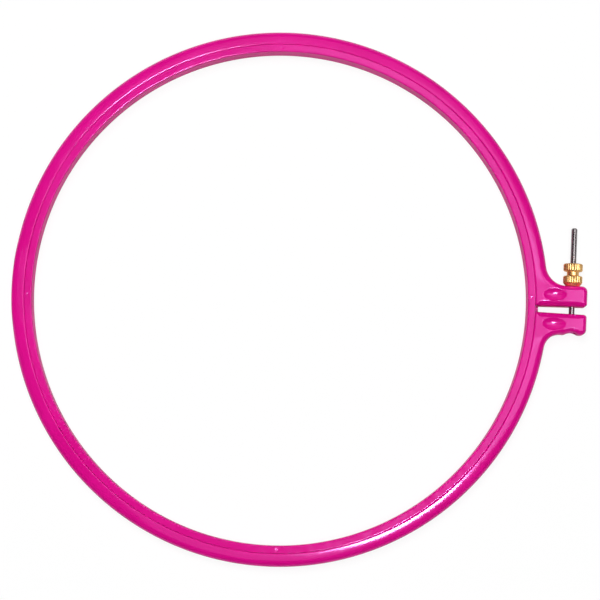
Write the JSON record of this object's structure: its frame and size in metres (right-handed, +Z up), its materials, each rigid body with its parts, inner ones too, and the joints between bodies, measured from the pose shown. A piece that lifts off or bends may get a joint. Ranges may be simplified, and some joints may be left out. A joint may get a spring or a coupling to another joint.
{
  "type": "embroidery hoop",
  "caption": "Round screw-tightened embroidery hoop: a lipped inner ring in a split outer ring whose lugs are drawn together by a long screw and a knurled nut.",
  "frame": {"origin": "on the rings' axis, in the plane of the inner ring's underside that the hoop lies on", "axes": "+Z up along the rings' axis, +X from the centre through the slot between the lugs, +Y along the screw towards its nut and its free end"},
  "size_m": [0.2865, 0.2672, 0.0112],
  "materials": {
    "ring_plastic": "gloss magenta moulded plastic",
    "screw_steel": "plain steel, fine thread",
    "nut_brass": "bright turned and knurled brass"
  },
  "bodies": {
    "inner_ring": {"inner_ring": "ring_plastic"},
    "outer_ring": {"outer_ring": "ring_plastic"},
    "clamp_screw": {"clamp_screw": "screw_steel"},
    "thumb_nut": {"thumb_nut": "nut_brass"}
  },
  "joints": [
    {"name": "outer_ring_lift", "type": "slide", "parent": "inner_ring", "child": "outer_ring", "axis": [0, 0, 1], "range_m": [0, 0.03]},
    {"name": "screw_travel", "type": "slide", "parent": "outer_ring", "child": "clamp_screw", "axis": [0, -1, 0], "range_m": [0, 0.018]},
    {"name": "nut_turn", "type": "hinge", "parent": "outer_ring", "child": "thumb_nut", "pos_m": [0.14555, 0, 0.0064], "axis": [0, 1, 0], "range_deg": [0, 12960]}
  ],
  "couplings": [
    {"joint": "nut_turn", "follows": "screw_travel", "rad_per_m": 12566}
  ]
}
